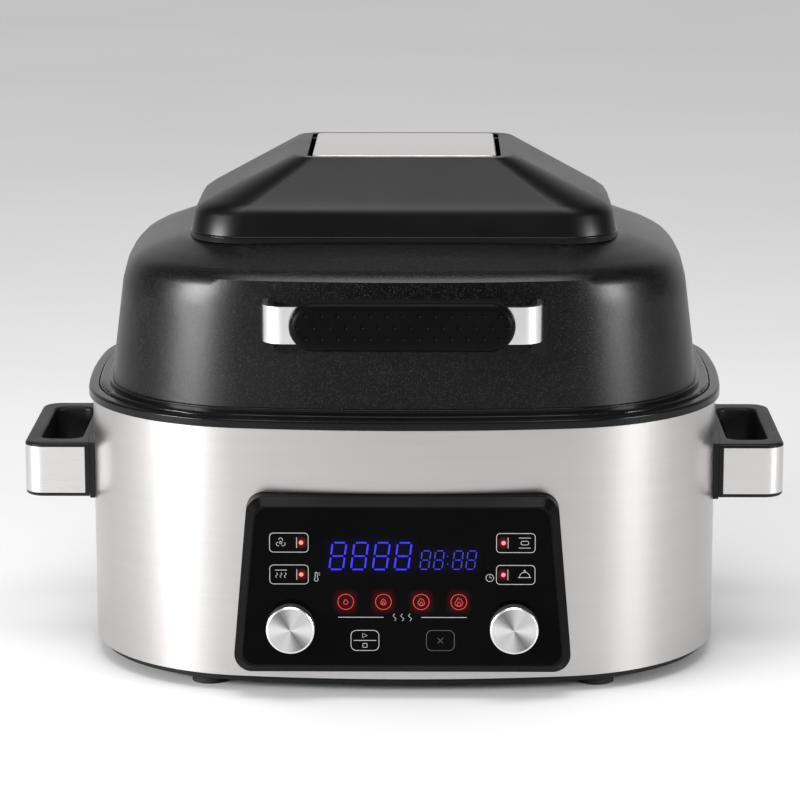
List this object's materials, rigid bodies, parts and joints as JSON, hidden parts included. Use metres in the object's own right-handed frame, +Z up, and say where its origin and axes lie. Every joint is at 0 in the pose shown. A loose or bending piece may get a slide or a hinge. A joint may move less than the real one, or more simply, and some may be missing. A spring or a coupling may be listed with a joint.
{
  "type": "air fryer grill",
  "caption": "Countertop air fryer grill with an oval steel body, front control panel, side handles, a pot with a grill plate, and a hinged domed lid that carries a fan and heater.",
  "frame": {"origin": "middle of the footprint on the table under the feet", "axes": "+X to the right seen from the front, -Y to the front with the control panel, +Z up"},
  "size_m": [0.464, 0.368, 0.3054],
  "materials": {
    "rubber": "matt",
    "silicone": "satin",
    "black_plastic": "fine matt grain",
    "gloss_black": "polished",
    "panel_glass": "polished",
    "brushed_steel": "brushed",
    "sheet_steel": "rolled",
    "fastener_steel": "zinc plated",
    "pot_coating": "speckled non-stick coating",
    "grill_coating": "non-stick coating",
    "lid_paint": "fine metallic grain",
    "hood_plastic": "smooth matt",
    "chrome": "mirror",
    "grip_plastic": "dimpled",
    "arm_paint": "satin",
    "knob_aluminium": "spun face",
    "fan_aluminium": "mill",
    "board": "solder mask",
    "motor": "lacquer",
    "element_sheath": "oxidised",
    "brass": "plain"
  },
  "bodies": {
    "base": {"rubber_feet": "rubber", "base_pan": "black_plastic", "pan_screws": "fastener_steel", "steel_band": "brushed_steel", "top_rim": "gloss_black", "inner_liner": "sheet_steel", "cooking_pot": "pot_coating", "grill_plate": "grill_coating", "left_side_handle": "black_plastic", "left_handle_flange": "black_plastic", "left_handle_trim": "brushed_steel", "left_handle_screws": "fastener_steel", "right_side_handle": "black_plastic", "right_handle_flange": "black_plastic", "right_handle_trim": "brushed_steel", "right_handle_screws": "fastener_steel", "panel_bezel": "gloss_black", "panel_glass": "panel_glass", "control_board": "board", "display_module": "black_plastic", "left_encoder": "sheet_steel", "right_encoder": "sheet_steel", "power_board": "board", "cord_gland": "black_plastic", "hinge_bracket": "black_plastic", "hinge_screws": "fastener_steel", "hinge_cover": "black_plastic", "hinge_pins": "fastener_steel"},
    "lid": {"lid_trim_ring": "gloss_black", "lid_gasket": "silicone", "lid_shell": "lid_paint", "lid_liner": "sheet_steel", "hood_base": "gloss_black", "hood_cap": "hood_plastic", "lid_screws": "fastener_steel", "top_plate": "brushed_steel", "motor_bracket": "sheet_steel", "motor_stator": "motor", "heating_element": "element_sheath", "element_clips": "sheet_steel", "fan_guard": "sheet_steel", "temperature_sensor": "brass", "lid_handle_strap": "chrome", "lid_handle_grip": "grip_plastic", "left_handle_mount": "black_plastic", "right_handle_mount": "black_plastic", "handle_bolts": "fastener_steel", "left_hinge_arm": "arm_paint", "right_hinge_arm": "arm_paint"},
    "fan": {"motor_shaft": "fastener_steel", "convection_fan": "fan_aluminium", "cooling_fan": "black_plastic", "fan_nut": "brass"},
    "left_knob": {"left_knob_shaft": "fastener_steel", "left_knob_core": "black_plastic", "left_knob_cap": "knob_aluminium"},
    "right_knob": {"right_knob_shaft": "fastener_steel", "right_knob_core": "black_plastic", "right_knob_cap": "knob_aluminium"}
  },
  "joints": [
    {"name": "lid_hinge", "type": "hinge", "parent": "base", "child": "lid", "pos_m": [0, 0.172, 0.174], "axis": [-1, 0, 0], "range_deg": [0, 90]},
    {"name": "fan_spin", "type": "hinge", "parent": "lid", "child": "fan", "pos_m": [0, 0, 0.226], "axis": [0, 0, 1], "continuous": true},
    {"name": "left_knob_turn", "type": "hinge", "parent": "base", "child": "left_knob", "pos_m": [-0.065, -0.166, 0.045], "axis": [0, -1, 0], "continuous": true},
    {"name": "right_knob_turn", "type": "hinge", "parent": "base", "child": "right_knob", "pos_m": [0.065, -0.166, 0.045], "axis": [0, -1, 0], "continuous": true}
  ]
}
